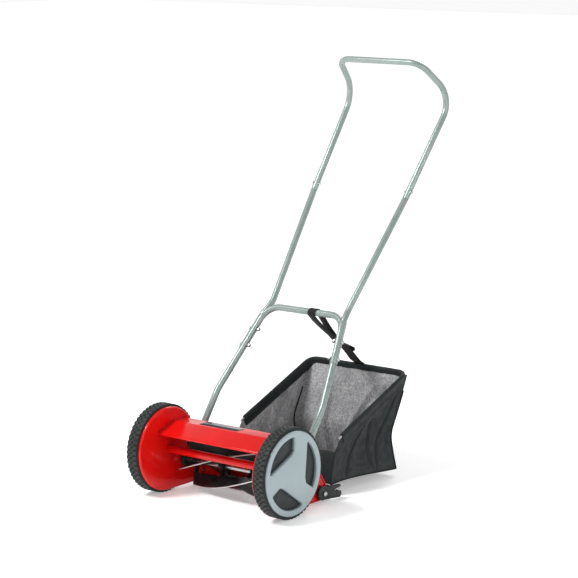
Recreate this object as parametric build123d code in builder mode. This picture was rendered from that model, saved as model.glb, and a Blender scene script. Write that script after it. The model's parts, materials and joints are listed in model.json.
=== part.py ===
from build123d import *
from math import atan2, cos, degrees, pi, radians, sin, tan
import os

# Reel mower. X runs across the machine, +Y points back towards the operator, +Z is up.
# Everything is drawn with the wheel axis above Y = 0 and moved at the end, so that the
# origin is the middle of the ground footprint. Left and right are the operator's: left is +X.

# ------------------------------------------------------------------ driving dimensions
WHEEL_R = 104.0              # over the tread lugs
AXLE_Z = WHEEL_R
TYRE_IN, TYRE_OUT = 172.3, 203.5
LUGS = 54
PLATE_X = 165.6              # inner face of each side plate
PLATE_R = 98.2
PLATE_DEPTH = 5.4            # from the inner face to the edge of the rolled rim
SHEET = 2.0
LOBE = (140.0, 31.0)         # rear lobe of the side plate, (Y, Z)
LOBE_R = 24.0
REEL_OFFSET = 69.0           # from the wheel axis to the reel axis
MESH_ANGLE = -29.5           # direction of the reel axis seen from the wheel axis
REEL_R = 59.0
REEL_HALF = 138.0
BLADES = 5
BLADE_TWIST = 99.0           # degrees over the whole reel
GEAR_MODULE = 2.0
RING_TEETH, PINION_TEETH = 81, 12
ROLLER_R = 22.5
ROLLER_Y = 144.0
ARCH_R, MIDDLE_R, GRIP_R = 8.0, 7.5, 7.5
TUBE_WALL = 1.1
BAG_HALF = 150.0
CLOTH = 2.4
FORK_ROD = (200.0, 23.0)     # the bag's bottom rod in the forks, (Y, Z)
HANDLE_BACK = 665.66         # rear of the upper handle's bend

MIDDLE_Y = (HANDLE_BACK - WHEEL_R) / 2
REEL_Y = REEL_OFFSET * cos(radians(MESH_ANGLE))
REEL_Z = AXLE_Z + REEL_OFFSET * sin(radians(MESH_ANGLE))
REEL = (REEL_Y, REEL_Z)
AXLE = (0.0, AXLE_Z)

os.makedirs("parts", exist_ok=True)


# ------------------------------------------------------------------ helpers
def keep(piece, name):
    """Label a finished sub-part, set it in the footprint frame and write its STEP file."""
    placed = Pos(0, -MIDDLE_Y, 0) * piece.part
    placed.label = name
    export_step(placed, f"parts/{name}.step")


def twin(piece):
    """The same sub-part on the other side of the machine."""
    with BuildPart() as other:
        mirror(piece.part, about=Plane.YZ)
    return other


def keep_pair(piece, name):
    keep(piece, f"{name}_left")
    keep(twin(piece), f"{name}_right")


def both_sides(piece):
    """One node that holds a fastener and its mirror image."""
    with BuildPart() as pair:
        add(piece.part)
        mirror(piece.part, about=Plane.YZ)
    return pair


def across(x):
    """A plane square to X; its own axes are Y and Z."""
    return Plane.YZ.offset(x)


def ring(x, depth, radius, bore=0.0, at=AXLE):
    """A washer, disc or shaft along X."""
    with BuildPart() as piece:
        with BuildSketch(across(x)):
            with Locations(at):
                Circle(radius)
                if bore:
                    Circle(bore, mode=Mode.SUBTRACT)
        extrude(amount=depth)
    return piece


def stepped_shaft(at, steps):
    """Shaft along X made of (start, end, radius) steps."""
    with BuildPart() as piece:
        for start, end, radius in steps:
            with BuildSketch(across(start)):
                with Locations(at):
                    Circle(radius)
            extrude(amount=end - start)
    return piece


def tube(points, radii, outer, inner=0.0):
    """A bent tube or wire through the points, with one bend radius for each inner point."""
    with BuildPart() as piece:
        with BuildLine() as path:
            if radii:
                FilletPolyline(*points, radius=radii)
            else:
                Line(*points)
        with BuildSketch(Plane(origin=path.line @ 0, z_dir=path.line % 0)):
            Circle(outer)
            if inner:
                Circle(inner, mode=Mode.SUBTRACT)
        sweep()
    return piece


def mirrored_path(points):
    """Points of one half of a symmetrical loop, then the other half back again."""
    return points + [(-x, y, z) for x, y, z in reversed(points)]


def along(start, end, z):
    """The point at height z on the line from start to end."""
    part = (z - start[2]) / (end[2] - start[2])
    return tuple(a + part * (b - a) for a, b in zip(start, end))


# ------------------------------------------------------------------ side plates
PLATE_BOLTS = [(77.9, 92.0), (90.0, 109.5)]        # handle leg bolts, (Y, Z)
FORK_SCREW = (150.0, 22.0)
ARM_BOLT = (129.0, 46.0)
KNIFE_PIVOT = (112.0, 33.0)
BEARING_R = 16.0

with BuildPart() as side_plate:
    with BuildSketch(across(PLATE_X)):
        with BuildLine():
            CenterArc(AXLE, PLATE_R, 0, 360)
            CenterArc(LOBE, LOBE_R, 0, 360)
        make_hull()
    extrude(amount=PLATE_DEPTH)
    fillet(side_plate.faces().sort_by(Axis.X)[0].edges(), radius=4)
    offset(amount=-SHEET, openings=side_plate.faces().sort_by(Axis.X)[-1], kind=Kind.ARC)
    with BuildSketch(across(PLATE_X)):
        with Locations(REEL):
            Circle(BEARING_R)
        with Locations(AXLE):
            Circle(6)
        with Locations(*PLATE_BOLTS, ARM_BOLT, FORK_SCREW):
            Circle(3)
        with Locations(KNIFE_PIVOT):
            Circle(4)
    extrude(amount=SHEET, mode=Mode.SUBTRACT)
keep_pair(side_plate, "side_plate")

# ------------------------------------------------------------------ deck cover and label
DECK_PROFILE = [(-37.5, 144.0), (-36.8, 148.1), (15.0, 168.6), (59.0, 168.0), (66.0, 158.0)]
DECK_GAUGE = 1.5
DECK_BENDS = [1.2, 6, 6]
LABEL_AT, LABEL_SIZE = (-34.0, 36.0), (113, 30)
LABEL_Z, LABEL_T = 169.35, 0.4

with BuildPart() as deck_cover:
    with BuildSketch(across(-PLATE_X)):
        with BuildLine() as fold:
            FilletPolyline(*DECK_PROFILE, radius=DECK_BENDS)
        trace(fold.line, DECK_GAUGE)
    extrude(amount=2 * PLATE_X)
keep(deck_cover, "deck_cover")

with BuildPart() as deck_label:
    with BuildSketch(Plane.XY.offset(LABEL_Z)) as blank:
        with Locations(LABEL_AT):
            Rectangle(*LABEL_SIZE)
        fillet(blank.vertices(), radius=2)
    extrude(amount=LABEL_T)
keep(deck_label, "deck_label")

# ------------------------------------------------------------------ cross tube and axles
CROSS_R = 9.25
cross_tube = ring(-PLATE_X, 2 * PLATE_X, CROSS_R, 7.7)
keep(cross_tube, "cross_tube")

stub_axle = stepped_shaft(AXLE, [(140, PLATE_X, 7.7), (PLATE_X, 196, 6)])
keep_pair(stub_axle, "stub_axle")
axle_nut = ring(191.4, 4.2, 11, 6)
keep(both_sides(axle_nut), "axle_nuts")

# ------------------------------------------------------------------ reel
SHAFT_R = 6.0
SHAFT_END = 186.2
SPIDERS = [-130.0, -43.0, 43.0, 130.0]
SPIDER_R = 27.0
BLADE_IN, BLADE_T = 27.0, 3.0
FIRST_BLADE = 142.0          # direction of the first blade at mid width, seen along +X
KEY_T = 4.0

with BuildPart() as reel_shaft:
    with BuildSketch(across(-SHAFT_END)):
        with Locations(REEL):
            Circle(SHAFT_R)
    extrude(amount=2 * SHAFT_END)
    for side in (-1, 1):
        with Locations((side * 179.25, REEL_Y, REEL_Z)):
            Box(8.2, KEY_T, 2 * SHAFT_R + 1, mode=Mode.SUBTRACT)
keep(reel_shaft, "reel_shaft")

for number, x in enumerate(SPIDERS, start=1):
    with BuildPart() as spider:
        turn = FIRST_BLADE - BLADE_TWIST * x / (2 * REEL_HALF)
        with BuildSketch(across(x - 1.25)):
            with Locations(REEL):
                Circle(15)
                with PolarLocations(0, BLADES, start_angle=turn):
                    with Locations((SPIDER_R / 2, 0)):
                        Rectangle(SPIDER_R, 13)
                Circle(SHAFT_R, mode=Mode.SUBTRACT)
        extrude(amount=2.5)
    keep(spider, f"reel_spider_{number}")

SECTIONS = 9
for number in range(BLADES):
    with BuildPart() as blade:
        for step in range(SECTIONS):
            x = REEL_HALF * (2 * step / (SECTIONS - 1) - 1)
            turn = FIRST_BLADE + 360 / BLADES * number - BLADE_TWIST * x / (2 * REEL_HALF)
            with BuildSketch(across(x)):
                with Locations(Location(REEL, turn)):
                    with Locations(((BLADE_IN + REEL_R) / 2, 0)):
                        Rectangle(REEL_R - BLADE_IN, BLADE_T)
        loft()
    keep(blade, f"reel_blade_{number + 1}")

# ------------------------------------------------------------------ gears
ADDENDUM, DEDENDUM = 1.4, 2.2
TOOTH = 2.6                  # thickness at the pitch circle, with backlash
FLANK = tan(radians(25))
GEAR_X, GEAR_W = 174.0, 10.5
RING_R = GEAR_MODULE * RING_TEETH / 2
PINION_R = GEAR_MODULE * PINION_TEETH / 2


def teeth(centre, pitch_r, count, first, inward):
    """Corner points of straight-sided teeth round a circle."""
    tip = pitch_r - inward * ADDENDUM
    root = pitch_r + inward * DEDENDUM
    tip_half = TOOTH / 2 - ADDENDUM * FLANK
    root_half = TOOTH / 2 + DEDENDUM * FLANK
    points = []
    for k in range(count):
        mid = radians(first) + 2 * pi * k / count
        for radius, half in ((root, -root_half), (tip, -tip_half), (tip, tip_half), (root, root_half)):
            angle = mid + half / radius
            points.append((centre[0] + radius * cos(angle), centre[1] + radius * sin(angle)))
    return points


with BuildPart() as pinion:
    with BuildSketch(across(GEAR_X)):
        with BuildLine():
            Polyline(*teeth(REEL, PINION_R, PINION_TEETH, MESH_ANGLE, -1), close=True)
        make_face()
    extrude(amount=GEAR_W)
    with BuildSketch(across(GEAR_X)):
        with Locations(REEL):
            Circle(SHAFT_R)
    extrude(amount=1, mode=Mode.SUBTRACT)
    with BuildSketch(across(GEAR_X + 1)):
        with Locations(REEL):
            Circle(8.8)
    extrude(amount=GEAR_W - 1, mode=Mode.SUBTRACT)
keep_pair(pinion, "pinion")

with BuildPart() as ratchet_key:
    with Locations((179.25, REEL_Y, REEL_Z)):
        Box(8.0, KEY_T - 0.1, 16.8)
keep(both_sides(ratchet_key), "ratchet_keys")
keep(both_sides(ring(GEAR_X + GEAR_W + 0.1, 1.2, 9.5, SHAFT_R, REEL)), "pinion_clips")

# The reel bearing: a flanged ring seated in the side plate.
with BuildPart() as reel_bearing:
    with BuildSketch(across(PLATE_X - 7)):
        with Locations(REEL):
            Circle(19)
    extrude(amount=7)
    with BuildSketch(across(PLATE_X)):
        with Locations(REEL):
            Circle(BEARING_R)
    extrude(amount=6)
    with BuildSketch(across(PLATE_X - 7)):
        with Locations(REEL):
            Circle(SHAFT_R + 0.06)
    extrude(amount=13, mode=Mode.SUBTRACT)
    chamfer(reel_bearing.edges().filter_by(GeomType.CIRCLE).sort_by(Axis.X)[:2].sort_by(SortBy.RADIUS)[-1], 2)
keep_pair(reel_bearing, "reel_bearing")

# ------------------------------------------------------------------ wheels
RIM_R = 92.0
WEB_X, WEB_T = 187.2, 3.0
HUB_R = 14.0
RIM_IN, RIM_END = 173.0, 202.9

with BuildPart() as wheel_rim:
    with BuildSketch(across(RIM_IN)):
        with Locations(AXLE):
            Circle(RIM_R)
    extrude(amount=RIM_END - RIM_IN)
    with BuildSketch(across(RIM_IN)):
        with Locations(AXLE):
            Circle(RING_R + DEDENDUM + 0.8)
            Circle(HUB_R, mode=Mode.SUBTRACT)
    extrude(amount=WEB_X - RIM_IN, mode=Mode.SUBTRACT)
    with BuildSketch(across(WEB_X + WEB_T)):
        with Locations(AXLE):
            Circle(88)
    extrude(amount=RIM_END - WEB_X - WEB_T, mode=Mode.SUBTRACT)
    with BuildSketch(across(GEAR_X)):
        with Locations(AXLE):
            Circle(RING_R + DEDENDUM + 0.8)
        with BuildLine():
            first = MESH_ANGLE + 180 / RING_TEETH
            Polyline(*teeth(AXLE, RING_R, RING_TEETH, first, 1), close=True)
        make_face(mode=Mode.SUBTRACT)
    extrude(amount=WEB_X - GEAR_X)
    with BuildSketch(across(RIM_IN)):
        with Locations(AXLE):
            Circle(6.06)
    extrude(amount=30, mode=Mode.SUBTRACT)
keep_pair(wheel_rim, "wheel_rim")

TREAD_R = 102.2
LUG_ROWS = [(TYRE_IN + 1.2, 11.0, WHEEL_R - 0.25, 0.0), (TYRE_OUT - 12.2, 11.0, WHEEL_R, 0.0),
            (TYRE_IN + 12.2, 6.8, WHEEL_R - 0.25, 0.5)]
LUG_W = 7.0


def tread_outline(flat_r, phase):
    """Closed outline of a band of flat-topped lugs; one lug of phase 0 is at the bottom."""
    points = []
    half = degrees(atan2(LUG_W / 2, flat_r))
    for k in range(LUGS):
        mid = -90 + 360 / LUGS * (k + phase)
        for turn, radius in ((-half - 0.3, TREAD_R), (-half, flat_r / cos(radians(half))),
                             (half, flat_r / cos(radians(half))), (half + 0.3, TREAD_R)):
            angle = radians(mid + turn)
            points.append((radius * cos(angle), AXLE_Z + radius * sin(angle)))
    return points


with BuildPart() as tyre:
    with BuildSketch(across(TYRE_IN)):
        with Locations(AXLE):
            Circle(TREAD_R - 1.0)
    extrude(amount=TYRE_OUT - TYRE_IN)
    chamfer(tyre.edges().filter_by(GeomType.CIRCLE), 2.0)
    for start, width, flat_r, phase in LUG_ROWS:
        with BuildSketch(across(start)):
            with BuildLine():
                Polyline(*tread_outline(flat_r, phase), close=True)
            make_face()
        extrude(amount=width)
    with BuildSketch(across(TYRE_IN)):
        with Locations(AXLE):
            Circle(RIM_R)
    extrude(amount=TYRE_OUT - TYRE_IN, mode=Mode.SUBTRACT)
keep_pair(tyre, "tyre")

# The cap: an outer ring and three wide spokes that merge into a triangular centre.
CAP_R, CAP_RING_R = 96.4, 82.5
CAP_BACK, CAP_FACE = 203.5, 207.5
INSERT_X, INSERT_T = 197.8, 2.2      # the dark floors, set deep behind the windows
WINDOW_WALL = 1.5
WINDOW_BEVEL = 2.2
# One cap window before the ring cuts it, (Y, Z) from the wheel axis.
WINDOW = [(5.0, 110.0), (3.0, 53.5), (-7.0, 44.0), (-75.0, 13.0), (-110.0, -1.0), (-90.0, 90.0)]


def window_sketch(grow=0.0):
    """The three cap windows, turned about the wheel axis."""
    with BuildSketch() as one:
        with BuildLine():
            Polyline(*WINDOW, close=True)
        make_face()
        Circle(CAP_RING_R, mode=Mode.INTERSECT)
        fillet(one.vertices(), radius=3)
        if grow:
            offset(amount=grow)
    with BuildSketch(across(0)) as three:
        with Locations(AXLE):
            with PolarLocations(0, 3):
                add(one.sketch)
    return three.sketch


with BuildPart() as wheel_cap:
    with BuildSketch(across(CAP_BACK)):
        with Locations(AXLE):
            Circle(CAP_R)
    extrude(amount=CAP_FACE - CAP_BACK)
    fillet(wheel_cap.faces().sort_by(Axis.X)[-1].edges(), radius=2.5)
    with BuildSketch(across(INSERT_X)):
        with Locations(AXLE):
            Circle(87.8)
            Circle(84.5, mode=Mode.SUBTRACT)
    extrude(amount=CAP_BACK - INSERT_X)
    extrude(Pos(INSERT_X, 0, 0) * window_sketch(WINDOW_WALL), amount=CAP_BACK - INSERT_X)
    extrude(Pos(INSERT_X, 0, 0) * window_sketch(), amount=CAP_FACE - INSERT_X, mode=Mode.SUBTRACT)
    chamfer(wheel_cap.faces().sort_by(Axis.X)[-1].inner_wires().edges(), WINDOW_BEVEL)
keep_pair(wheel_cap, "wheel_cap")

with BuildPart() as cap_inserts:
    extrude(Pos(INSERT_X, 0, 0) * window_sketch(-0.15), amount=INSERT_T)
keep_pair(cap_inserts, "cap_inserts")

# ------------------------------------------------------------------ bed knife
KNIFE_HALF = 145.0
CARRIER_HALF = 158.5
CARRIER_END_T = 3.0
with BuildPart() as bed_knife:
    with BuildSketch(across(-KNIFE_HALF)):
        with BuildLine():
            Polyline((79, 13.4), (80.5, 10.6), (106, 10.6), (106, 13.4), close=True)
        make_face()
    extrude(amount=2 * KNIFE_HALF)
keep(bed_knife, "bed_knife")

with BuildPart() as bed_knife_carrier:
    with BuildSketch(across(-CARRIER_HALF)):
        with BuildLine():
            Polyline((93, 13.4), (119, 13.4), (119, 45), (116, 45), (116, 16.4), (93, 16.4), close=True)
        make_face()
    extrude(amount=2 * CARRIER_HALF)
keep(bed_knife_carrier, "bed_knife_carrier")

with BuildPart() as carrier_end:
    with BuildSketch(across(CARRIER_HALF)):
        with BuildLine():
            Polyline((99, 13.4), (119, 13.4), (119, 45), (99, 45), close=True)
        make_face()
        with Locations(KNIFE_PIVOT):
            Circle(4, mode=Mode.SUBTRACT)
    extrude(amount=CARRIER_END_T)
keep_pair(carrier_end, "carrier_end")

with BuildPart() as knife_screws:
    with BuildSketch(Plane.XY.offset(16.4)):
        with GridLocations(66, 1, 5, 1):
            with Locations((0, 101)):
                RegularPolygon(4, 6)
    extrude(amount=2.6)
keep(knife_screws, "knife_screws")

knife_pivot = stepped_shaft(KNIFE_PIVOT, [(157, 169.6, 3.95), (169.6, 171, 6.5)])
keep(both_sides(knife_pivot), "knife_pivots")

# ------------------------------------------------------------------ handle
FOOT = (157.5, 74.0, 86.0)
KNEE = (157.5, 165.0, 218.0)
SHOULDER = (114.6, 302.0, 404.0)
MID_BEND = (112.5, 316.5, 413.5)
GRIP_JOINT = (137.7, 506.3, 660.8)
GRIP_KNEE = (149.1, 679.3, 890.3)
GRIP_CORNER = (121.2, 582.8, 977.4)
CLAMP_HEIGHTS = [316.6, 352.1]
ARCH_BENDS = [70, 46, 46, 70]
GRIP_BENDS = [60, 40, 40, 60]

arch_points = mirrored_path([FOOT, KNEE, SHOULDER])
clamp_points = [along(KNEE, SHOULDER, z) for z in CLAMP_HEIGHTS]
clamp_places = [(y, z) for x, y, z in clamp_points]
grip_screw = along(GRIP_JOINT, GRIP_KNEE, 676.0)

with BuildPart() as lower_arch:
    add(tube(arch_points, ARCH_BENDS, ARCH_R, ARCH_R - TUBE_WALL).part)
    with BuildSketch(across(-200)):
        with Locations(*PLATE_BOLTS, *clamp_places):
            Circle(3)
    extrude(amount=400, mode=Mode.SUBTRACT)
keep(lower_arch, "lower_handle_arch")

SADDLE_START = along(KNEE, SHOULDER, 306.0)
SADDLE_END = along(KNEE, SHOULDER, 392.0)
SADDLE_R = 9.4
MIDDLE_TOP = 660.0
LEG_RUN = (Vector(*SHOULDER) - Vector(*KNEE)).normalized()
INWARD = Vector(-1, 0, 0) - LEG_RUN * Vector(-1, 0, 0).dot(LEG_RUN)

with BuildPart() as middle_tube:
    add(tube([SADDLE_END, MID_BEND, along(MID_BEND, GRIP_JOINT, MIDDLE_TOP)], [55], MIDDLE_R).part)
    with BuildSketch(Plane(origin=SADDLE_START, z_dir=LEG_RUN)):
        Circle(SADDLE_R)
    extrude(amount=(Vector(*SADDLE_END) - Vector(*SADDLE_START)).length)
    spigot_end = along(GRIP_JOINT, GRIP_KNEE, 700.0)
    add(tube([along(MID_BEND, GRIP_JOINT, 650.0), GRIP_JOINT, spigot_end], [30], 6.2).part)
    add(tube([SADDLE_END, MID_BEND, GRIP_JOINT, spigot_end], [55, 30], 5.2).part, mode=Mode.SUBTRACT)
    add(tube(arch_points, ARCH_BENDS, ARCH_R + 0.05).part, mode=Mode.SUBTRACT)
    with BuildSketch(Plane(origin=SADDLE_START, z_dir=INWARD, x_dir=LEG_RUN)):
        with Locations((35, 0)):
            Rectangle(120, 60)
    extrude(amount=40, mode=Mode.SUBTRACT)
    with BuildSketch(across(100)):
        with Locations(*clamp_places, (grip_screw[1], grip_screw[2])):
            Circle(3)
    extrude(amount=60, mode=Mode.SUBTRACT)
keep_pair(middle_tube, "middle_tube")

grip_points = mirrored_path([GRIP_JOINT, GRIP_KNEE, GRIP_CORNER])
with BuildPart() as upper_handle:
    add(tube(grip_points, GRIP_BENDS, GRIP_R, GRIP_R - TUBE_WALL).part)
    with BuildSketch(across(-200)):
        with Locations((grip_screw[1], grip_screw[2])):
            Circle(3)
    extrude(amount=400, mode=Mode.SUBTRACT)
keep(upper_handle, "upper_handle")


def cross_bolt(at, x, inner, outer, head_r, head_t):
    """A bolt along X at (Y, Z): shank from inner to outer about x, with an outboard head."""
    return stepped_shaft(at, [(x + inner, x + outer, 2.95), (x + outer, x + outer + head_t, head_r)])


NUT_GAP, NUT_LENGTH, NUT_R = 1.7, 6.5, 5.0
with BuildPart() as clamp_bolts:
    for (x, y, z) in clamp_points:
        bolt = cross_bolt((y, z), x, -ARCH_R - NUT_GAP - NUT_LENGTH + 1, SADDLE_R + 1.3, 4.6, 2.4)
        add(bolt.part)
keep(both_sides(clamp_bolts), "clamp_bolts")

with BuildPart() as cap_nuts:
    for (x, y, z) in clamp_points:
        with BuildSketch(across(x - ARCH_R - NUT_GAP - NUT_LENGTH)):
            with Locations((y, z)):
                RegularPolygon(NUT_R, 6)
                Circle(2.95, mode=Mode.SUBTRACT)
        extrude(amount=NUT_LENGTH)
keep(both_sides(cap_nuts), "cap_nuts")

with BuildPart() as joint_screws:
    add(cross_bolt(grip_screw[1:], grip_screw[0], -10.5, 7.9, 4.2, 1.8).part)
keep(both_sides(joint_screws), "joint_screws")

with BuildPart() as leg_bolts:
    for at in PLATE_BOLTS:
        add(stepped_shaft(at, [(147, PLATE_X + SHEET, 2.95), (PLATE_X + SHEET, PLATE_X + SHEET + 3, 5)]).part)
keep(both_sides(leg_bolts), "leg_bolts")

# ------------------------------------------------------------------ roller and its carriage
ARM_X, ARM_T = 159.4, 5.6
HEIGHT_TRAVEL = 24.0
with BuildPart() as roller_arm:
    with BuildSketch(across(ARM_X)):
        with BuildLine():
            CenterArc((ROLLER_Y, ROLLER_R), 11, 0, 360)
            CenterArc((ARM_BOLT[0], ARM_BOLT[1] + HEIGHT_TRAVEL), 9, 0, 360)
            CenterArc((ARM_BOLT[0] + 1, ARM_BOLT[1] - 6), 10, 0, 360)
        make_hull()
        with Locations((ARM_BOLT[0], ARM_BOLT[1] + HEIGHT_TRAVEL / 2)):
            SlotOverall(HEIGHT_TRAVEL + 8.2, 8.2, rotation=90, mode=Mode.SUBTRACT)
        with Locations((ROLLER_Y, ROLLER_R)):
            Circle(5, mode=Mode.SUBTRACT)
    extrude(amount=ARM_T)
keep_pair(roller_arm, "roller_arm")

roller_axle = stepped_shaft((ROLLER_Y, ROLLER_R), [(-(ARM_X + ARM_T), ARM_X + ARM_T, 5)])
keep(roller_axle, "roller_axle")
ROLLER_HALF = 154.0
with BuildPart() as roller:
    with BuildSketch(across(-ROLLER_HALF)):
        with Locations((ROLLER_Y, ROLLER_R)):
            Circle(ROLLER_R)
            Circle(ROLLER_R - 3, mode=Mode.SUBTRACT)
    extrude(amount=2 * ROLLER_HALF)
    for start in (-ROLLER_HALF, ROLLER_HALF - 6, -3):
        with BuildSketch(across(start)):
            with Locations((ROLLER_Y, ROLLER_R)):
                Circle(ROLLER_R - 2.5)
                Circle(5.07, mode=Mode.SUBTRACT)
        extrude(amount=6)
keep(roller, "roller")

arm_bolt = stepped_shaft(ARM_BOLT, [(154.6, ARM_X - 0.2, 7), (ARM_X - 0.2, PLATE_X, 3.95),
                                    (PLATE_X, PLATE_X + SHEET, 3), (PLATE_X + SHEET, 170.8, 6)])
keep(both_sides(arm_bolt), "height_clamp_bolts")

# ------------------------------------------------------------------ bag forks
FORK_X, FORK_T = 171.3, 6.0
PRONG_R, THIN_PRONG = 8.2, 5.6
with BuildPart() as bag_fork:
    with BuildSketch(across(FORK_X)):
        with Locations((ROLLER_Y, 24.5)):
            Circle(17)
        with BuildLine():
            Polyline((ROLLER_Y, 9), (203.5, 3.6), (203.5, 20), (188, 20), (188, 26), (207, 28), (207, 33),
                     (170, 36), (ROLLER_Y, 40), close=True)
        make_face()
        with Locations((203.5, 11.8)):
            Circle(PRONG_R)
        with Locations((206.5, 30.4)):
            Circle(THIN_PRONG / 2)
        with Locations(FORK_ROD):
            Circle(2.9, mode=Mode.SUBTRACT)
        with Locations((FORK_ROD[0] + 10, FORK_ROD[1])):
            Rectangle(20, 5.8, mode=Mode.SUBTRACT)
    extrude(amount=FORK_T)
    with BuildSketch(across(FORK_X)):
        with Locations(FORK_SCREW):
            Circle(3)
    extrude(amount=FORK_T, mode=Mode.SUBTRACT)
    fillet(bag_fork.faces().sort_by(Axis.X)[-1].edges().filter_by(GeomType.CIRCLE).group_by(SortBy.LENGTH)[-1], 1.2)
keep_pair(bag_fork, "bag_fork")
fork_screw = stepped_shaft(FORK_SCREW, [(165.2, FORK_X + FORK_T, 3), (FORK_X + FORK_T, FORK_X + FORK_T + 2.6, 5.4)])
keep(both_sides(fork_screw), "fork_screws")

# ------------------------------------------------------------------ grass bag
WIRE_R = 2.5
HOOK = (147.3, 238.1, 129.5)
BAG_TOP = (146.6, 506.7, 240.8)
rod_half = FORK_X + FORK_T + 3
with BuildPart() as bag_rod:
    add(tube([(-rod_half, *FORK_ROD), (rod_half, *FORK_ROD)], [], WIRE_R).part)
keep(bag_rod, "bag_rod")
bag_wire = tube(mirrored_path([HOOK, BAG_TOP]), [24, 24], WIRE_R)
keep(bag_wire, "bag_wire")

# Side outline of the bag below its wire, (Y, Z), from the front lip round the bottom to the top.
BAG_SIDE = [(222, 99), (204.5, 32), (208, 24), (459, 12), (468, 17), (440, 104), (510, 236), (240, 124)]
BAG_INSIDE = [(224.6, 99.5), (207.2, 34), (209.5, 26.5), (458, 14.6), (465, 18.4),
              (437.4, 104.4), (505, 231), (505, 300), (200, 300), (200, 99.5)]
with BuildPart() as bag_body:
    with BuildSketch(across(-BAG_HALF)):
        with BuildLine():
            Polyline(*BAG_SIDE, close=True)
        make_face()
    extrude(amount=2 * BAG_HALF)
    with BuildSketch(across(-BAG_HALF + CLOTH)):
        with BuildLine():
            Polyline(*BAG_INSIDE, close=True)
        make_face()
    extrude(amount=2 * (BAG_HALF - CLOTH), mode=Mode.SUBTRACT)
keep(bag_body, "bag_body")

# ------------------------------------------------------------------ strap
STRAP_W, STRAP_T = 24.0, 2.0
ARCH_TOP = (16.0, SHOULDER[1], SHOULDER[2])
LOOP_IN = ARCH_R + 0.3
BAR = (BAG_TOP[1], BAG_TOP[2])
STRAP_DROP = degrees(atan2(ARCH_TOP[2] - BAR[1] - 8, BAR[0] - ARCH_TOP[1]))
SPLIT = 0.27                 # share of the strap, from the arch, that stays with the arch
STRAP_RUN = 238.0


def strap_run(start, end):
    """A flat length of webbing between two distances from the arch tube."""
    frame = Plane(origin=ARCH_TOP, x_dir=(1, 0, 0), z_dir=(0, sin(radians(STRAP_DROP)), cos(radians(STRAP_DROP))))
    with BuildPart() as run:
        with BuildSketch(frame.offset(-STRAP_T / 2)):
            with Locations((0, (start + end) / 2)):
                Rectangle(STRAP_W, end - start)
        extrude(amount=STRAP_T)
    return run


with BuildPart() as strap_upper:
    add(ring(ARCH_TOP[0] - STRAP_W / 2, STRAP_W, LOOP_IN + STRAP_T, LOOP_IN, ARCH_TOP[1:]).part)
    add(strap_run(LOOP_IN + 1, STRAP_RUN * SPLIT).part)
keep(strap_upper, "strap_upper")

with BuildPart() as strap_lower:
    add(strap_run(STRAP_RUN * SPLIT + 3, STRAP_RUN).part)
keep(strap_lower, "strap_lower")
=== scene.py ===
"""Reel mower: materials, sewn grass bag and strap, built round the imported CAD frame."""
import json
import math

import bpy
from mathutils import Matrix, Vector, noise


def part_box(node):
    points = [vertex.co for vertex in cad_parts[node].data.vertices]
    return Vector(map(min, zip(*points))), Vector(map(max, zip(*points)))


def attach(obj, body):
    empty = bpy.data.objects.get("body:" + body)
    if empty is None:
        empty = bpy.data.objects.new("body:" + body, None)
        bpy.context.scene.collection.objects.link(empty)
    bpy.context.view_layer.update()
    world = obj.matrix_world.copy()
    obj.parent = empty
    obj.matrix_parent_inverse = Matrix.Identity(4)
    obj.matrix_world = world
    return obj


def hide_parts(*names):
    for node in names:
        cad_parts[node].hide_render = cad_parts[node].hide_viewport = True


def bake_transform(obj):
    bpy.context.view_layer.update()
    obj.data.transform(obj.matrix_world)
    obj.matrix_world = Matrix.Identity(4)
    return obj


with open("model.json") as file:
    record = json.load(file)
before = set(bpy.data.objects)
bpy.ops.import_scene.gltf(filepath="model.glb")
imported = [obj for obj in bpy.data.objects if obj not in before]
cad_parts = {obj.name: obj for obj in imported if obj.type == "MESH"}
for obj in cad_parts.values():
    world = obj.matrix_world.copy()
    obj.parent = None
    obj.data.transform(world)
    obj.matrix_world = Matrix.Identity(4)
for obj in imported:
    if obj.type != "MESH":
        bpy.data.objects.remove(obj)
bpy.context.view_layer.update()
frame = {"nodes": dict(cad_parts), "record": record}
MM = 0.001

# ---------------------------------------------------------------- places read from the frame
tyre_lo, tyre_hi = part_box("tyre_left")
AXLE = (tyre_lo + tyre_hi) / 2
shaft_lo, shaft_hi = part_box("reel_shaft")
REEL = (shaft_lo + shaft_hi) / 2


def at(x, y, z):
    """A point given in millimetres: across, behind the wheel axis, above the ground."""
    return Vector((x * MM, AXLE.y + y * MM, z * MM))


# ---------------------------------------------------------------- camera, light and floor
AZIMUTH, ELEVATION = math.radians(38.95), math.radians(9.81)
DISTANCE, LENS, SENSOR = 4.944, 137.25, 36.0
CLIP = (0.1, 60.0)
AIM = at(116.6, 94.3, 497.6)

WORLD_STRENGTH = 0.95
FRONT_SHADE = 0.58      # the studio is dimmer behind the camera, so blacks stay black
CEILING_SHADE = 0.45    # and dimmer overhead, so the sloping paint keeps its colour
LIT_POINT = (0, 0, 0.35)
FLOOR_SIZE = 40


def make_camera():
    data = bpy.data.cameras.new("camera")
    data.lens, data.sensor_width = LENS, SENSOR
    data.clip_start, data.clip_end = CLIP
    camera = bpy.data.objects.new("camera", data)
    bpy.context.collection.objects.link(camera)
    level = math.cos(ELEVATION)
    back = Vector((math.sin(AZIMUTH) * level, -math.cos(AZIMUTH) * level, math.sin(ELEVATION)))
    camera.location = AIM + back * DISTANCE
    camera.rotation_euler = (-back).to_track_quat("-Z", "Y").to_euler()
    bpy.context.scene.camera = camera


def area_light(name, place, size, power):
    """A round lamp that is turned towards the mower."""
    data = bpy.data.lights.new(name, "AREA")
    data.shape, data.size, data.energy = "DISK", size, power
    light = bpy.data.objects.new(name, data)
    bpy.context.collection.objects.link(light)
    light.location = place
    towards = Vector(LIT_POINT) - Vector(place)
    light.rotation_euler = towards.to_track_quat("-Z", "Y").to_euler()


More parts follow.
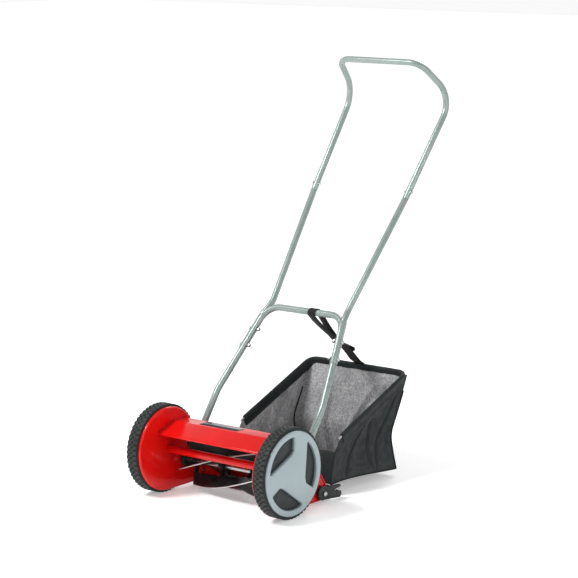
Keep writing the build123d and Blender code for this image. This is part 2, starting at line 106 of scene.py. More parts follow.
def ranged(tree, source, low, high, start, end):
    """The source's span from low to high, turned into values from start to end."""
    made = tree.nodes.new("ShaderNodeMapRange")
    values = {"From Min": low, "From Max": high, "To Min": start, "To Max": end}
    for socket, value in values.items():
        made.inputs[socket].default_value = value
    tree.links.new(source, made.inputs["Value"])
    return made.outputs["Result"]


def make_world():
    """White surroundings that are shaded towards the front and overhead."""
    world = bpy.data.worlds.new("studio")
    bpy.context.scene.world = world
    world.use_nodes = True
    tree = world.node_tree
    sky = tree.nodes["Background"]
    sky.inputs["Strength"].default_value = WORLD_STRENGTH
    direction = tree.nodes.new("ShaderNodeTexCoord").outputs["Generated"]
    split = tree.nodes.new("ShaderNodeSeparateXYZ")
    tree.links.new(direction, split.inputs[0])
    both = tree.nodes.new("ShaderNodeMath")
    both.operation = "MULTIPLY"
    front = ranged(tree, split.outputs["Y"], -0.55, 0.15, FRONT_SHADE, 1.0)
    ceiling = ranged(tree, split.outputs["Z"], 0.26, 0.55, 1.0, CEILING_SHADE)
    tree.links.new(front, both.inputs[0])
    tree.links.new(ceiling, both.inputs[1])
    tree.links.new(both.outputs[0], sky.inputs["Color"])


def make_studio():
    bpy.context.scene.view_settings.view_transform = "Standard"
    make_world()
    area_light("key_light", (-1.4, -2.4, 3.4), 1.3, 150)
    area_light("fill_light", (3.4, -1.2, 1.6), 2.2, 30)
    area_light("rim_light", (-0.8, 2.8, 2.6), 1.6, 45)
    bpy.ops.mesh.primitive_plane_add(size=FLOOR_SIZE, location=(0, 0, 0))
    floor = bpy.context.object
    floor.name = "floor"
    floor.data.materials.append(floor_paint())


# ---------------------------------------------------------------- material kit
class Finish:
    """A node material, put together layer by layer on one principled shader."""

    def __init__(self, name, colour, roughness, metallic=0.0, **fixed):
        self.material = bpy.data.materials.new(name)
        self.material.use_nodes = True
        self.tree = self.material.node_tree
        self.shader = self.tree.nodes["Principled BSDF"]
        self.coords = self.tree.nodes.new("ShaderNodeTexCoord").outputs["Object"]
        self.normal = None
        self.set("Base Color", (*colour, 1))
        self.set("Roughness", roughness)
        self.set("Metallic", metallic)
        for socket, value in fixed.items():
            self.set(socket.replace("_", " "), value)

    def set(self, socket, value):
        self.shader.inputs[socket].default_value = value

    def node(self, kind, **values):
        made = self.tree.nodes.new("ShaderNode" + kind)
        for key, value in values.items():
            setattr(made, key, value)
        return made

    def link(self, source, target):
        self.tree.links.new(source, target)

    def place(self, scale=(1, 1, 1), shift=(0, 0, 0)):
        mapping = self.node("Mapping")
        mapping.inputs["Location"].default_value = shift
        mapping.inputs["Scale"].default_value = scale
        self.link(self.coords, mapping.inputs["Vector"])
        return mapping.outputs["Vector"]

    def noise(self, scale, detail, roughness=0.55, vector=None):
        made = self.node("TexNoise")
        made.inputs["Scale"].default_value = scale
        made.inputs["Detail"].default_value = detail
        made.inputs["Roughness"].default_value = roughness
        self.link(vector or self.coords, made.inputs["Vector"])
        return made.outputs["Fac"]

    def threads(self, pitch, axis, warp):
        """Waves along an axis, each about as long as two threads of the pitch."""
        made = self.node("TexWave", wave_type="BANDS", bands_direction=axis, wave_profile="SIN")
        made.inputs["Scale"].default_value = 1 / pitch / WAVE_DIVISOR
        made.inputs["Distortion"].default_value = warp
        made.inputs["Detail Scale"].default_value = 1.5
        self.link(self.coords, made.inputs["Vector"])
        return made.outputs["Fac"]

    def math(self, operation, *values):
        made = self.node("Math", operation=operation)
        for socket, value in zip(made.inputs, values):
            if isinstance(value, (int, float)):
                socket.default_value = value
            else:
                self.link(value, socket)
        return made.outputs[0]

    def ramp(self, factor, *stops):
        """Colours or grey values at positions along the factor."""
        made = self.node("ValToRGB")
        elements = made.color_ramp.elements
        while len(elements) < len(stops):
            elements.new(0.5)
        for element, (position, value) in zip(elements, stops):
            element.position = position
            colour = value if isinstance(value, tuple) else (value, value, value)
            element.color = (*colour, 1)
        self.link(factor, made.inputs["Fac"])
        return made.outputs["Color"]

    def mix(self, factor, first, second):
        made = self.node("Mix", data_type="RGBA")
        self.link(factor, made.inputs[0])
        for socket, value in ((made.inputs[6], first), (made.inputs[7], second)):
            if isinstance(value, tuple):
                socket.default_value = (*value, 1)
            else:
                self.link(value, socket)
        return made.outputs[2]

    def bump(self, height, distance, strength):
        made = self.node("Bump")
        made.inputs["Distance"].default_value = distance
        made.inputs["Strength"].default_value = strength
        self.link(height, made.inputs["Height"])
        if self.normal:
            self.link(self.normal, made.inputs["Normal"])
        self.normal = made.outputs["Normal"]
        self.link(self.normal, self.shader.inputs["Normal"])

    def drive(self, socket, source):
        self.link(source, self.shader.inputs[socket])

    def radius_from(self, centre, scale):
        """Scaled distance from an axis along X, so that a colour can follow a turned edge."""
        split = self.node("SeparateXYZ")
        self.link(self.place(shift=(0, -centre.y, -centre.z)), split.inputs[0])
        squares = [self.math("MULTIPLY", split.outputs[k], split.outputs[k]) for k in (1, 2)]
        radius = self.math("SQRT", self.math("ADD", *squares))
        return self.math("MULTIPLY", radius, scale)


WAVE_DIVISOR = 6.2832   # makes a wave about two thread pitches long
TYRE_SCALE = 5.0        # ramp positions on the tyre are radii in metres times this
BLADE_SCALE = 10.0      # and the same on the reel blades


def floor_paint():
    """White floor, glowing more further out, where the lamps no longer reach."""
    made = Finish("studio_floor", (0.93, 0.93, 0.93), 0.55, Specular_IOR_Level=0.2,
                  Emission_Color=(1, 1, 1, 1))
    reach = made.node("VectorMath", operation="LENGTH")
    made.link(made.coords, reach.inputs[0])
    glow = ranged(made.tree, reach.outputs["Value"], 2.5, 7.0, 0.3, 0.62)
    made.drive("Emission Strength", glow)
    grain = made.noise(6, 4)
    made.drive("Base Color", made.ramp(grain, (0.3, (0.92, 0.92, 0.92)), (0.7, (0.95, 0.95, 0.95))))
    return made.material


def red_paint():
    made = Finish("red_gloss_paint", (0.66, 0.006, 0.004), 0.2, Specular_IOR_Level=0.28,
                  Coat_Weight=0.12, Coat_Roughness=0.05)
    patches = made.noise(14, 3)
    made.drive("Base Color", made.ramp(patches, (0.25, (0.60, 0.004, 0.003)),
                                       (0.75, (0.71, 0.007, 0.005))))
    made.drive("Roughness", made.ramp(made.noise(60, 4), (0.3, 0.14), (0.75, 0.26)))
    made.bump(made.noise(260, 2), 0.00010, 0.3)
    made.bump(made.noise(16, 2), 0.0010, 0.12)
    return made.material


def handle_paint():
    made = Finish("handle_powder_coat", (0.28, 0.335, 0.315), 0.34, 0.30, Specular_IOR_Level=0.35)
    cloud = made.noise(18, 4)
    tint = made.ramp(cloud, (0.3, (0.245, 0.300, 0.282)), (0.7, (0.315, 0.370, 0.350)))
    scratches = made.noise(140, 3, 0.6, made.place(scale=(1, 0.10, 0.10)))
    scuffs = made.ramp(scratches, (0.68, 0.0), (0.80, 0.5))
    made.drive("Base Color", made.mix(scuffs, tint, (0.42, 0.47, 0.455)))
    made.drive("Roughness", made.ramp(made.noise(90, 3), (0.3, 0.25), (0.8, 0.42)))
    made.bump(made.noise(1500, 2), 0.00006, 0.5)
    return made.material


def tyre_rubber():
    """Painted shade at the foot of the lugs, down in the grooves; scuffed on top of them."""
    made = Finish("tyre_rubber", (0.018, 0.023, 0.022), 0.62, Specular_IOR_Level=0.22)
    radius = made.radius_from(AXLE, TYRE_SCALE)
    lug_top = made.ramp(radius, (0.509, 0.0), (0.518, 1.0))
    # painted shade: the rubber goes near black at the foot of the lugs, in the grooves
    groove_shade = made.ramp(radius, (0.500, 1.0), (0.509, 0.30), (0.516, 1.0))
    rubber = made.ramp(made.noise(30, 4), (0.3, (0.016, 0.020, 0.019)),
                       (0.7, (0.030, 0.036, 0.035)))
    scuffed = made.ramp(made.noise(160, 5, 0.7), (0.42, 0.0), (0.7, 0.75))
    worn = made.mix(made.math("MULTIPLY", lug_top, scuffed), rubber, (0.062, 0.070, 0.067))
    made.drive("Base Color", made.mix(groove_shade, (0.005, 0.006, 0.006), worn))
    made.drive("Roughness", made.ramp(made.noise(120, 3), (0.3, 0.50), (0.7, 0.75)))
    made.bump(made.noise(900, 3), 0.0002, 0.6)
    made.bump(made.noise(140, 3), 0.0004, 0.3)
    return made.material


def cap_silver():
    made = Finish("cap_silver_plastic", (0.31, 0.375, 0.39), 0.33, 0.2, Specular_IOR_Level=0.35)
    flakes = made.ramp(made.noise(260, 1), (0.35, (0.303, 0.366, 0.380)),
                       (0.65, (0.317, 0.383, 0.398)))
    haze = made.ramp(made.noise(12, 3), (0.35, 0.0), (0.8, 0.5))
    made.drive("Base Color", made.mix(haze, flakes, (0.37, 0.43, 0.445)))
    made.drive("Roughness", made.ramp(made.noise(20, 2), (0.3, 0.29), (0.75, 0.36)))
    return made.material


def moulded_plastic(name, colour, light, rough):
    made = Finish(name, colour, rough, Specular_IOR_Level=0.25)
    made.drive("Base Color", made.ramp(made.noise(25, 4), (0.3, colour), (0.75, light)))
    made.drive("Roughness", made.ramp(made.noise(70, 3), (0.3, rough - 0.08), (0.75, rough + 0.1)))
    made.bump(made.noise(2200, 2), 0.00012, 0.55)
    return made.material


def blade_paint():
    """Black enamel, with bare steel on the outermost edge."""
    made = Finish("blade_enamel_and_ground_edge", (0.007, 0.008, 0.008), 0.38,
                  Specular_IOR_Level=0.25)
    ground = made.ramp(made.radius_from(REEL, BLADE_SCALE), (0.574, 0.0), (0.577, 1.0))
    enamel = made.ramp(made.noise(60, 4), (0.35, (0.005, 0.006, 0.006)),
                       (0.8, (0.016, 0.018, 0.018)))
    steel = made.ramp(made.noise(700, 2), (0.3, (0.48, 0.49, 0.50)), (0.7, (0.68, 0.69, 0.70)))
    made.drive("Base Color", made.mix(ground, enamel, steel))
    made.drive("Metallic", ground)
    made.drive("Roughness", made.ramp(made.noise(80, 3), (0.3, 0.28), (0.8, 0.48)))
    made.bump(made.noise(500, 3), 0.0001, 0.5)
    return made.material


def zinc_steel(name="zinc_plated_steel", low=0.46, high=0.64, rough=0.3):
    made = Finish(name, (low, low, low), rough, 1.0)
    made.drive("Base Color", made.ramp(made.noise(160, 4), (0.3, low), (0.75, high)))
    made.drive("Roughness", made.ramp(made.noise(300, 3), (0.3, rough - 0.08),
                                      (0.75, rough + 0.14)))
    made.bump(made.noise(900, 2), 0.00006, 0.5)
    return made.material


def ground_steel():
    made = Finish("ground_steel", (0.55, 0.56, 0.57), 0.3, 1.0)
    streaks = made.noise(120, 3, 0.6, made.place(scale=(1, 14, 14)))
    made.drive("Base Color", made.ramp(streaks, (0.3, (0.42, 0.43, 0.44)),
                                       (0.75, (0.66, 0.67, 0.68))))
    made.drive("Roughness", made.ramp(streaks, (0.3, 0.24), (0.75, 0.42)))
    made.bump(streaks, 0.00008, 0.5)
    return made.material


def label_film():
    made = Finish("label_film", (0.012, 0.014, 0.016), 0.25, Coat_Weight=0.6, Coat_Roughness=0.08)
    made.drive("Base Color", made.ramp(made.noise(50, 3), (0.3, (0.010, 0.012, 0.014)),
                                       (0.8, (0.026, 0.029, 0.032))))
    made.bump(made.noise(160, 2), 0.0001, 0.3)
    return made.material


def weave(made, pitch, depth):
    """Over-and-under threads along the object's three axes."""
    across_threads, up_threads, back_threads = (made.threads(pitch, axis, 0.4) for axis in "XZY")
    cloth = made.math("MULTIPLY", made.math("ADD", up_threads, back_threads), across_threads)
    made.bump(cloth, depth, 0.8)
    return cloth


def bag_outer():
    made = Finish("bag_black_polyester", (0.008, 0.011, 0.011), 0.55, Sheen_Weight=0.06,
                  Sheen_Roughness=0.4, Specular_IOR_Level=0.22)
    cloth = weave(made, 0.0011, 0.00022)
    fade = made.ramp(made.noise(9, 4), (0.3, (0.006, 0.009, 0.009)), (0.75, (0.017, 0.022, 0.022)))
    made.drive("Base Color", made.mix(made.math("MULTIPLY", cloth, 0.30), fade,
                                      (0.034, 0.040, 0.041)))
    made.drive("Roughness", made.ramp(made.noise(40, 3), (0.3, 0.48), (0.75, 0.72)))
    made.bump(made.noise(60, 4), 0.0012, 0.35)
    return made.material


def bag_lining():
    made = Finish("bag_grey_woven_lining", (0.30, 0.30, 0.31), 0.6, Sheen_Weight=0.05,
                  Specular_IOR_Level=0.2)
    cloth = weave(made, 0.0018, 0.0004)
    slubs = made.noise(260, 3, 0.6, made.place(scale=(1.0, 1.0, 0.55)))
    threads = made.ramp(slubs, (0.30, (0.19, 0.195, 0.20)), (0.5, (0.40, 0.40, 0.41)),
                        (0.70, (0.62, 0.615, 0.625)))
    # painted shade: large dark patches on the lining, mixed towards the shadow colour
    shade_patches = made.ramp(made.noise(11, 4, 0.6), (0.35, 0.55), (0.62, 0.0))
    shadow = (0.17, 0.17, 0.175)
    patch_shaded = made.mix(shade_patches, threads, shadow)
    made.drive("Base Color", made.mix(made.math("MULTIPLY", cloth, 0.35), patch_shaded, shadow))
    made.bump(made.noise(75, 4, 0.6, made.place(scale=(1.5, 1.5, 0.6))), 0.0018, 0.5)
    return made.material


def strap_webbing():
    made = Finish("black_webbing", (0.006, 0.008, 0.008), 0.65, Sheen_Weight=0.05,
                  Specular_IOR_Level=0.2)
    ribs = made.threads(0.0022, "X", 0.2)
    picks = made.threads(0.0016, "Z", 0.3)
    made.bump(made.math("MULTIPLY", ribs, made.math("ADD", picks, 0.5)), 0.0004, 0.8)
    made.drive("Base Color", made.mix(made.math("MULTIPLY", ribs, 0.5), (0.005, 0.006, 0.006),
                                      (0.020, 0.023, 0.024)))
    return made.material


# ---------------------------------------------------------------- CAD nodes
FINISHES = {
    "red_paint": red_paint(),
    "handle_paint": handle_paint(),
    "tyre": tyre_rubber(),
    "cap_silver": cap_silver(),
    "wheel_plastic": moulded_plastic("wheel_dark_plastic", (0.014, 0.020, 0.021),
                                     (0.026, 0.035, 0.036), 0.40),
    "black_plastic": moulded_plastic("black_moulded_plastic", (0.008, 0.010, 0.010),
                                     (0.019, 0.022, 0.022), 0.38),
    "blade_paint": blade_paint(),
    "label": label_film(),
    "wire": zinc_steel("bag_wire_steel", 0.40, 0.60, 0.32),
    "ground_steel": ground_steel(),
    "zinc_steel": zinc_steel(),
    "bag_fabric": bag_outer(),
    "webbing": strap_webbing(),
}
LINING = bag_lining()
NODE_SLOT = {row["node"]: row["material_slot"] for row in frame["record"]["subparts"]}
# Bevel widths in millimetres, by the start of the node's name; the first that fits is used.
EDGE_WIDTHS = {"side_plate": 0.5, "deck_cover": 0.4, "wheel_cap": 0.5, "bag_fork": 0.6,
               "roller_arm": 0.5, "tyre": 0.5, "cap_inserts": 0.4, "cap_nuts": 0.5, "knife": 0.3,
               "bed_knife": 0.3, "reel": 0.3, "axle_nuts": 0.4, "cross_tube": 0.3,
               "upper_handle": 0.3, "middle_tube": 0.3}
WELD_GAP = 0.02 * MM
SHARP_EDGE = math.radians(40)


def finish_cad_nodes():
    """Real finishes, softened edges and smooth shading on the carried-over CAD pieces."""
    for name, piece in frame["nodes"].items():
        piece.data.materials.clear()
        piece.data.materials.append(FINISHES[NODE_SLOT[name]])
        weld = piece.modifiers.new("weld", "WELD")
        weld.merge_threshold = WELD_GAP
        width = next((w for key, w in EDGE_WIDTHS.items() if name.startswith(key)), None)
        if width:
            bevel = piece.modifiers.new("soft_edges", "BEVEL")
            bevel.width, bevel.segments = width * MM, 2
            bevel.limit_method, bevel.angle_limit = "ANGLE", SHARP_EDGE
        piece.data.shade_smooth()


# ---------------------------------------------------------------- mesh kit
def piece_from(name, points, faces, body, slot):
    mesh = bpy.data.meshes.new(name)
    mesh.from_pydata([tuple(p) for p in points], [], faces)
    mesh.materials.append(FINISHES[slot])
    mesh.update()
    made = bpy.data.objects.new(name, mesh)
    bpy.context.collection.objects.link(made)
    mesh.shade_smooth()
    if body:
        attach(made, body)
    return made


def subdivide(piece):
    smooth = piece.modifiers.new("smooth", "SUBSURF")
    smooth.levels = smooth.render_levels = 1


def grid_faces(rows, columns, flip):
    faces = []
    for i in range(rows - 1):
        for j in range(columns - 1):
            near, far = i * columns + j, (i + 1) * columns + j
            quad = (near, near + 1, far + 1, far)
            faces.append(quad[::-1] if flip else quad)
    return faces


def tube_faces(rings, size):
    """Faces of a run of rings of points, closed at both ends."""
    faces = []
    for i in range(rings - 1):
        for j in range(size):
            k = (j + 1) % size
            faces.append((i * size + j, i * size + k, (i + 1) * size + k, (i + 1) * size + j))
    faces.append(tuple(range(size))[::-1])
    faces.append(tuple((rings - 1) * size + j for j in range(size)))
    return faces


def joined(*shapes):
    """Several (points, faces) shapes as one."""
    points, faces = [], []
    for more, skin in shapes:
        base = len(points)
        points += more
        faces += [tuple(base + k for k in face) for face in skin]
    return points, faces


def polyline_at(points, share):
    """Point at a share of a polyline's length."""
    lengths = [(b - a).length for a, b in zip(points, points[1:])]
    target = max(0.0, min(1.0, share)) * sum(lengths)
    for a, b, length in zip(points, points[1:], lengths):
        if target <= length:
            return a.lerp(b, target / length if length else 0)
        target -= length
    return points[-1].copy()


def rounded(points, radius, steps=6):
    """The polyline with each inner corner turned into a quadratic arc."""
    path = [points[0]]
    for before, corner, after in zip(points, points[1:], points[2:]):
        reach = min(radius, (before - corner).length * 0.45, (after - corner).length * 0.45)
        start = corner + (before - corner).normalized() * reach
        end = corner + (after - corner).normalized() * reach
        for k in range(steps + 1):
            t = k / steps
            path.append(start * (1 - t) ** 2 + corner * 2 * t * (1 - t) + end * t ** 2)
    return path + [points[-1]]


def resampled(points, step):
    total = sum((b - a).length for a, b in zip(points, points[1:]))
    count = max(2, round(total / step))
    return [polyline_at(points, k / count) for k in range(count + 1)]


def heading(path, i):
    """Direction of a path at its point i."""
    return (path[min(i + 1, len(path) - 1)] - path[max(i - 1, 0)]).normalized()


def swept(path, section, up):
    """A closed section carried along a path. section gives (side, up) offsets at a share."""
    points = []
    for i, place in enumerate(path):
        ahead = heading(path, i)
        side = ahead.cross(up).normalized()
        rise = side.cross(ahead).normalized()
        ring = section(i / (len(path) - 1))
        points += [place + side * s + rise * u for s, u in ring]
    return points, tube_faces(len(path), len(ring))


def oval(width, height, count):
    return [(width / 2 * math.cos(2 * math.pi * k / count),
             height / 2 * math.sin(2 * math.pi * k / count)) for k in range(count)]


def crease(place, scale, seed):
    """Smooth pseudo-random value from -1 to 1 at a point."""
    return noise.noise(place * scale + Vector((seed, seed * 1.7, -seed)))


def valley(value, middle, width):
    """A narrow crease: 1 at the middle and 0 a few widths away."""
    return math.exp(-((value - middle) / width) ** 2)


def clamped(low, high, *values):
    """The least of the values, held between low and high."""
    return max(low, min(high, *values))


# ---------------------------------------------------------------- grass bag
BAG_HALF = 149.0
CLOTH_T = 0.9 * MM
HEM_DEPTH = 20.0
SIDE_ROWS, SIDE_COLUMNS = 46, 60
BASE_COLUMNS = 64
BASE_STEP = 7.0

# The four edges of a side panel, as (Y, Z) stations.
FRONT_CORNER, REAR_CORNER = (205.5, 27.0), (463.0, 14.5)
SIDE_TOP = ((240, 126), (330, 164), (420, 201.5), (507, 237))
SIDE_BOTTOM = (FRONT_CORNER, (255, 29.5), (330, 26.0), (410, 18.5), REAR_CORNER)
SIDE_FRONT = ((240, 126), (223.0, 99.0), (212, 60), FRONT_CORNER)
SIDE_REAR = ((507, 237), (476, 172), (438.5, 104.0), (449, 58), REAR_CORNER)
LIP_SHARE = 0.27        # how far down the front edge the bag's low lip starts

# Tucks, as their place across the cloth and their lean; widths are shares of the cloth.
SIDE_TUCKS = ((0.34, 0.25), (0.58, -0.16), (0.79, 0.20))
BACK_TUCKS = ((0.30, 0.10), (0.62, -0.32), (0.82, 0.12))
SIDE_TUCK_WIDTH, BACK_TUCK_WIDTH = 0.018, 0.020
BACK_SWELL, SWELL_OFFSET, SWELL_WIDTH = 0.45, 0.055, 0.03     # the ridge beside each back tuck

# How far the cloth leaves its flat shape, in millimetres.
SIDE_FOLD, SIDE_DRAG, SIDE_RIPPLE, SIDE_BULGE, SIDE_TUCK = 2.6, 4.2, 1.6, 5.0, 6.0
BACK_FOLD, BACK_DRAG, BACK_RIPPLE, BACK_TUCK = 4.5, 4.0, 1.6, 12.0
MOST_INWARD, MOST_OUTWARD, MOST_DOWNWARD, FLOOR_LEVEL = -14.0, 6.0, 1.5, 40
SIDE_HEIGHT, SIDE_GROWTH = 95, 125      # a panel's height in front, and what it gains to the rear
HEM_FADE = 28                           # the creases grow over this height below the hem
FOLDS_START, TUCKS_START = 0.62, 0.50   # shares of the strip, where the rear wall creases

# The wire, as (X, Y, Z) stations: from its hook to the rear corner.
WIRE_HOOK, WIRE_TOP = (147.3, 238.1, 129.5), (146.6, 506.7, 240.8)
WIRE_SLOPE = 0.415
WIRE_BEND = 26 * MM

# Cross section of the hem sleeve round the wire: half of it, as (side, up, puff share).
HEM_HALF = ((3.2, 5.4, 0), (5.0, 1.8, 0), (4.6, -3.0, 0), (3.4, -9.0, 0.5), (2.9, -17.0, 0),
            (2.2, -21.5, 0))
HEM_CROWN, HEM_FOOT = (0, 6.6), (0, -22.4)
STITCH_LENGTH, STITCH_GAP, STITCH_T = 3.2, 2.3, 0.55
STITCH_DROP = 18.0


def side_outline():
    """A side panel's edges as rounded (0, Y, Z) polylines: top, bottom, front, rear."""
    edges = (SIDE_TOP, SIDE_BOTTOM, SIDE_FRONT, SIDE_REAR)
    top, bottom, front, rear = ([Vector((0, y, z)) for y, z in edge] for edge in edges)
    return top, rounded(bottom, 40), rounded(front, 20), rounded(rear, 45)


def side_panel(side):
    """One sewn side: a patch between its four edges, bulged and creased like slack cloth."""
    top, bottom, front, rear = side_outline()
    corners = (top[0], top[-1], bottom[0], bottom[-1])
    points = []
    for i in range(SIDE_ROWS):
        t = i / (SIDE_ROWS - 1)
        for j in range(SIDE_COLUMNS):
            s = j / (SIDE_COLUMNS - 1)
            edge_blend = (polyline_at(top, s) * (1 - t) + polyline_at(bottom, s) * t
                          + polyline_at(front, t) * (1 - s) + polyline_at(rear, t) * s)
            corner_blend = ((corners[0] * (1 - s) + corners[1] * s) * (1 - t)
                            + (corners[2] * (1 - s) + corners[3] * s) * t)
            flat = edge_blend - corner_blend
            height = SIDE_HEIGHT + SIDE_GROWTH * s
            below_hem = (t * height - HEM_DEPTH) / HEM_FADE
            free = clamped(0.0, 1.0, below_hem, 6 * (1 - t)) * min(1.0, 9 * s * (1 - s))
            place = Vector((side * 3, flat.y * 0.01, flat.z * 0.01))
            wander = 2.5 * crease(place, 1.1, 3.1)
            folds = SIDE_FOLD * math.sin(s * 17 + 2.2 * t + wander) * (1 - t) * 0.7
            drag = SIDE_DRAG * crease(Vector((side, s * 5.5 + t * 2.2, t * 2.4)), 1.0, 9.3)
            ripple = SIDE_RIPPLE * crease(place, 4.2, 5.5)
            bulge = -SIDE_BULGE * math.sin(math.pi * s) * math.sin(math.pi * t)
            tucks = sum(valley(s + lean * (t - 0.5), where, SIDE_TUCK_WIDTH)
                        for where, lean in SIDE_TUCKS)
            out = free * (folds + drag + ripple + bulge - SIDE_TUCK * tucks)
            points.append(at(side * (BAG_HALF + out), flat.y, flat.z))
    return points, grid_faces(SIDE_ROWS, SIDE_COLUMNS, flip=side > 0)


def base_path():
    """Front lip, floor and rear wall of the bag in one line."""
    bottom, front, rear = side_outline()[1:]
    falling = [polyline_at(front, LIP_SHARE + (1 - LIP_SHARE) * k / 12) for k in range(13)]
    return falling + resampled(bottom, 6)[1:] + resampled(rear[::-1], 6)[1:]


def base_strip():
    """The lip, floor and rear wall as one creased sheet, with deep tucks in the wall."""
    path = resampled(base_path(), BASE_STEP)
    rows = len(path)
    points = []
    for i, spot in enumerate(path):
        ahead = heading(path, i)
        outward = Vector((0, ahead.z, -ahead.y))
        along = i / (rows - 1)
        most = MOST_OUTWARD if spot.z > FLOOR_LEVEL else MOST_DOWNWARD
        for j in range(BASE_COLUMNS):
            s = j / (BASE_COLUMNS - 1)
            x = BAG_HALF * (2 * s - 1)
            free = min(1.0, 8 * s * (1 - s)) * clamped(0.0, 1.0, 12 * along, 7.5 * (0.97 - along))
            place = Vector((x * 0.01, spot.y * 0.01, spot.z * 0.01))
            wave = math.sin(s * 21 + 3 * crease(place, 0.8, 2.0))
            folds = BACK_FOLD * wave * max(0.0, along - FOLDS_START) * 1.6
            drag = BACK_DRAG * crease(Vector((s * 6.5, along * 5, 0.4)), 1.0, 7.7)
            tucks = 0
            for where, lean in BACK_TUCKS:
                across = s + lean * (along - 0.8) * 2
                ridge = BACK_SWELL * valley(across, where + SWELL_OFFSET, SWELL_WIDTH)
                tucks += valley(across, where, BACK_TUCK_WIDTH) - ridge
            deep = -BACK_TUCK * tucks * clamped(0.0, 1.0, (along - TUCKS_START) * 6)
            out = free * (folds + drag + BACK_RIPPLE * crease(place, 3.8, 1.2) + deep)
            out = clamped(MOST_INWARD, most, out)
            points.append(at(x, spot.y + outward.y * out, spot.z + outward.z * out))
    return points, grid_faces(rows, BASE_COLUMNS, flip=True)


def cloth_skin(name, shape):
    """Black outside and grey lining inside from one creased surface."""
    made = piece_from(name, *shape, "grass_bag", "bag_fabric")
    made.data.materials.append(LINING)
    thick = made.modifiers.new("two_layers", "SOLIDIFY")
    thick.thickness, thick.offset = CLOTH_T, -1
    thick.material_offset, thick.material_offset_rim = 1, 0
    subdivide(made)
    return made


def wire_path(drop=0.0, trim=0.0, spread=0.0):
    """The bag's wire from one hook round the back to the other, or a line beside it."""
    half = [at(WIRE_HOOK[0] + spread, WIRE_HOOK[1] + trim, WIRE_HOOK[2] + trim * WIRE_SLOPE - drop),
            at(WIRE_TOP[0] + spread, WIRE_TOP[1] + spread, WIRE_TOP[2] - drop)]
    other = [Vector((-p.x, p.y, p.z)) for p in reversed(half)]
    return rounded(half + other, WIRE_BEND, 8)


def hem_sleeve():
    """The folded band of cloth that is sewn round the wire."""
    def section(share):
        place = Vector((share * 40, 0.3, 0.7))
        swell = 1 + 0.16 * crease(place, 1.0, 4.4)
        puff = 0.9 * crease(place, 2.3, 8.0)
        outer = [(s + puff * p, u) for s, u, p in HEM_HALF]
        inner = [(-s + puff * p, u) for s, u, p in reversed(HEM_HALF)]
        ring = [HEM_CROWN, *outer, HEM_FOOT, *inner]
        return [(s * MM * swell, u * MM * (1 + 0.05 * puff)) for s, u in ring]

    path = resampled(wire_path(trim=9), 5 * MM)
    shape = swept(path, section, Vector((0, 0, 1)))
    subdivide(piece_from("bag_hem_sleeve", *shape, "grass_bag", "bag_fabric"))


def stitches(name, path):
    """A row of sewn stitches along a path, as short rounded threads."""
    walk = resampled(path, (STITCH_LENGTH + STITCH_GAP) * MM)
    threads = []
    for a, b in zip(walk, walk[1:]):
        end = a + (b - a).normalized() * STITCH_LENGTH * MM
        threads.append(swept([a, a.lerp(end, 0.5), end],
                             lambda share: oval(STITCH_T * MM, STITCH_T * MM, 6),
                             Vector((0, 0, 1))))
    piece_from(name, *joined(*threads), "grass_bag", "webbing")


def piping(name, path, radius):
    walk = resampled(path, 4 * MM)
    shape = swept(walk, lambda share: oval(2 * radius * MM, 2 * radius * MM, 10),
                  Vector((1, 0, 0)))
    piece_from(name, *shape, "grass_bag", "webbing")


def rod_sleeve():
    """The tunnel of cloth round the bottom rod."""
    rod_lo, rod_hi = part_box("bag_rod")
    middle = (rod_lo + rod_hi) / 2
    path = [Vector((x * MM, middle.y, middle.z)) for x in range(-148, 149, 4)]

    def loop(share):
        swell = 1 + 0.10 * crease(Vector((share * 30, 1, 2)), 1.0, 6.1)
        return [(s * swell, u * swell) for s, u in oval(10 * MM, 9.5 * MM, 16)]

    shape = swept(path, loop, Vector((0, 0, 1)))
    piece_from("bag_rod_sleeve", *shape, "grass_bag", "bag_fabric")


def make_bag():
    body = cloth_skin("bag_base_and_back", base_strip())
    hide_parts("bag_body")
    cloth_skin("bag_side_left", side_panel(1))
    cloth_skin("bag_side_right", side_panel(-1))
    hem_sleeve()
    bottom, front, rear = side_outline()[1:]
    outer_edge = front[1:] + bottom[1:] + rear[::-1][1:-1]
    for side, word in ((1, "left"), (-1, "right")):
        seam = [at(side * (BAG_HALF + 0.6), p.y, p.z) for p in outer_edge]
        piping(f"bag_seam_{word}", seam, 1.5)
        inside = [at(side * (BAG_HALF - 2.2), p.y - 1.5, p.z) for p in rear[::-1][2:-4]]
        piping(f"bag_lining_seam_{word}", inside, 1.7)
    rod_sleeve()
    stitches("bag_hem_stitches", wire_path(drop=STITCH_DROP, trim=12, spread=3.1))
    stitches("bag_hem_stitches_inner", wire_path(drop=STITCH_DROP, trim=12, spread=-3.1))


# ---------------------------------------------------------------- strap
ARCH_BAR = (302.0, 404.0)      # the arch's top bar, (Y, Z)
WRAP_R, WRAP_START, WRAP_STEP, WRAP_COUNT = 9.5, 42, 11.6, 17     # angles in degrees
WRAP_X, WRAP_DRIFT = 27, 5
MERGE = (377.0, 336.0)         # where the two strands of the loop meet, (Y, Z)
STRAP_W, STRAP_T = 22.0, 1.6
STRAP_CUP = 0.8 * MM
RIVET_XS, RIVET_Y, RIVET_Z, RIVET_R = (-4, 10), 516.4, 236.5, 2.6
RIVET_DOME = (1, 0.45, 1)

# Stations (X, Y, Z) of the two strands, the doubled tail down to the hem, and the loose end.
LOOP_BACK = ((21, MERGE[0] + 3, MERGE[1] + 3), (24, 352, 365), (26, 328, 391))
LOOP_FRONT = ((21, 316, 379), (20, 344, 358.5), (19, MERGE[0], MERGE[1] + 0.4))
TAIL = ((19, MERGE[0] - 8, MERGE[1] + 9), (17, 402, 318), (13, 432, 302), (9, 462, 280),
        (5, 488, 258), (3, 504, 249.5), (3, 514.5, 243), (3, 515.2, 226))
LOOSE_END = ((16, 404, 320.5), (14, 430, 308), (13, 449, 303), (12, 462, 296), (11, 463, 287),
             (11, 455, 287))


def stations(rows):
    return [at(*row) for row in rows]


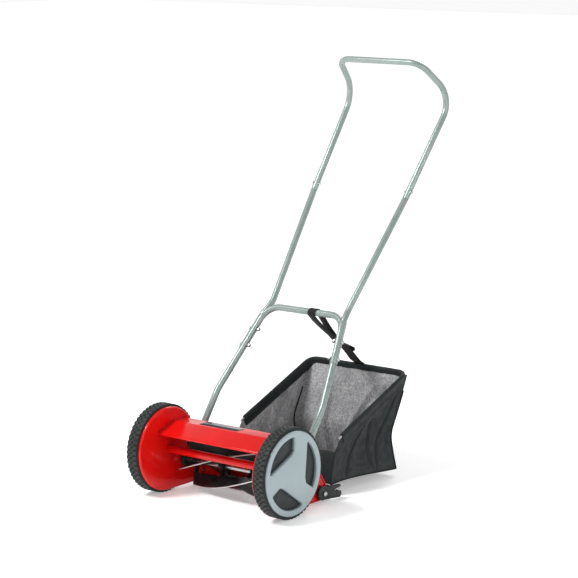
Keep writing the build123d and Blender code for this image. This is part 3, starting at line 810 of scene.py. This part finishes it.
def ribbon(path, width, thick, tilt=0.0):
    """Flat webbing along a path of points. width gives millimetres at a share of the path."""
    walk = resampled(path, 3 * MM)
    points = []
    for i, place in enumerate(walk):
        share = i / (len(walk) - 1)
        ahead = heading(walk, i)
        across = Vector((1, 0, 0)) - ahead * ahead.x
        across.normalize()
        rise = ahead.cross(across).normalized()
        twist = tilt * math.sin(math.pi * share)
        across, rise = (across * math.cos(twist) + rise * math.sin(twist),
                        rise * math.cos(twist) - across * math.sin(twist))
        half, t = width(share) / 2 * MM, thick / 2 * MM
        cup = STRAP_CUP * math.sin(share * 9)
        section = [(-half, -t * 0.4), (-half * 0.94, -t), (0, -t + cup), (half * 0.94, -t),
                   (half, -t * 0.4), (half, t * 0.4), (half * 0.94, t), (0, t + cup),
                   (-half * 0.94, t), (-half, t * 0.4)]
        points += [place + across * s + rise * u for s, u in section]
    return points, tube_faces(len(walk), len(section))


def make_strap():
    """A webbing loop over the arch bar, its doubled tail, and the folded-back loose end."""
    bar = []
    for k in range(WRAP_COUNT):
        angle = math.radians(WRAP_START + WRAP_STEP * k)
        bar.append(at(WRAP_X - WRAP_DRIFT * k / (WRAP_COUNT - 1),
                      ARCH_BAR[0] + WRAP_R * math.cos(angle),
                      ARCH_BAR[1] + WRAP_R * math.sin(angle)))
    loop_path = stations(LOOP_BACK) + bar + stations(LOOP_FRONT)
    loop = ribbon(rounded(loop_path, 9 * MM, 4), lambda share: STRAP_W, STRAP_T)
    tail = ribbon(rounded(stations(TAIL), 14 * MM, 5), lambda share: STRAP_W + 3 + 8 * share,
                  STRAP_T * 1.25)
    fold = ribbon(rounded(stations(LOOSE_END), 10 * MM, 5), lambda share: STRAP_W + 5,
                  STRAP_T, 0.25)
    strap = piece_from("strap_webbing", *joined(loop, tail, fold), None, "webbing")
    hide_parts("strap_upper", "strap_lower")
    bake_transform(strap)


def make_rivets():
    """Two small domed rivets through the strap end and the bag's rear hem."""
    for number, x in enumerate(RIVET_XS, start=1):
        bpy.ops.mesh.primitive_uv_sphere_add(segments=20, ring_count=12, radius=RIVET_R * MM,
                                             location=at(x, RIVET_Y, RIVET_Z))
        rivet = bpy.context.object
        rivet.name = f"strap_rivet_{number}"
        rivet.scale = RIVET_DOME
        bpy.ops.object.transform_apply(location=True, scale=True)
        rivet.data.materials.append(FINISHES["zinc_steel"])
        rivet.data.shade_smooth()
        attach(rivet, "grass_bag")


# ---------------------------------------------------------------- build
make_camera()
make_studio()
finish_cad_nodes()
make_bag()
make_strap()
make_rivets()
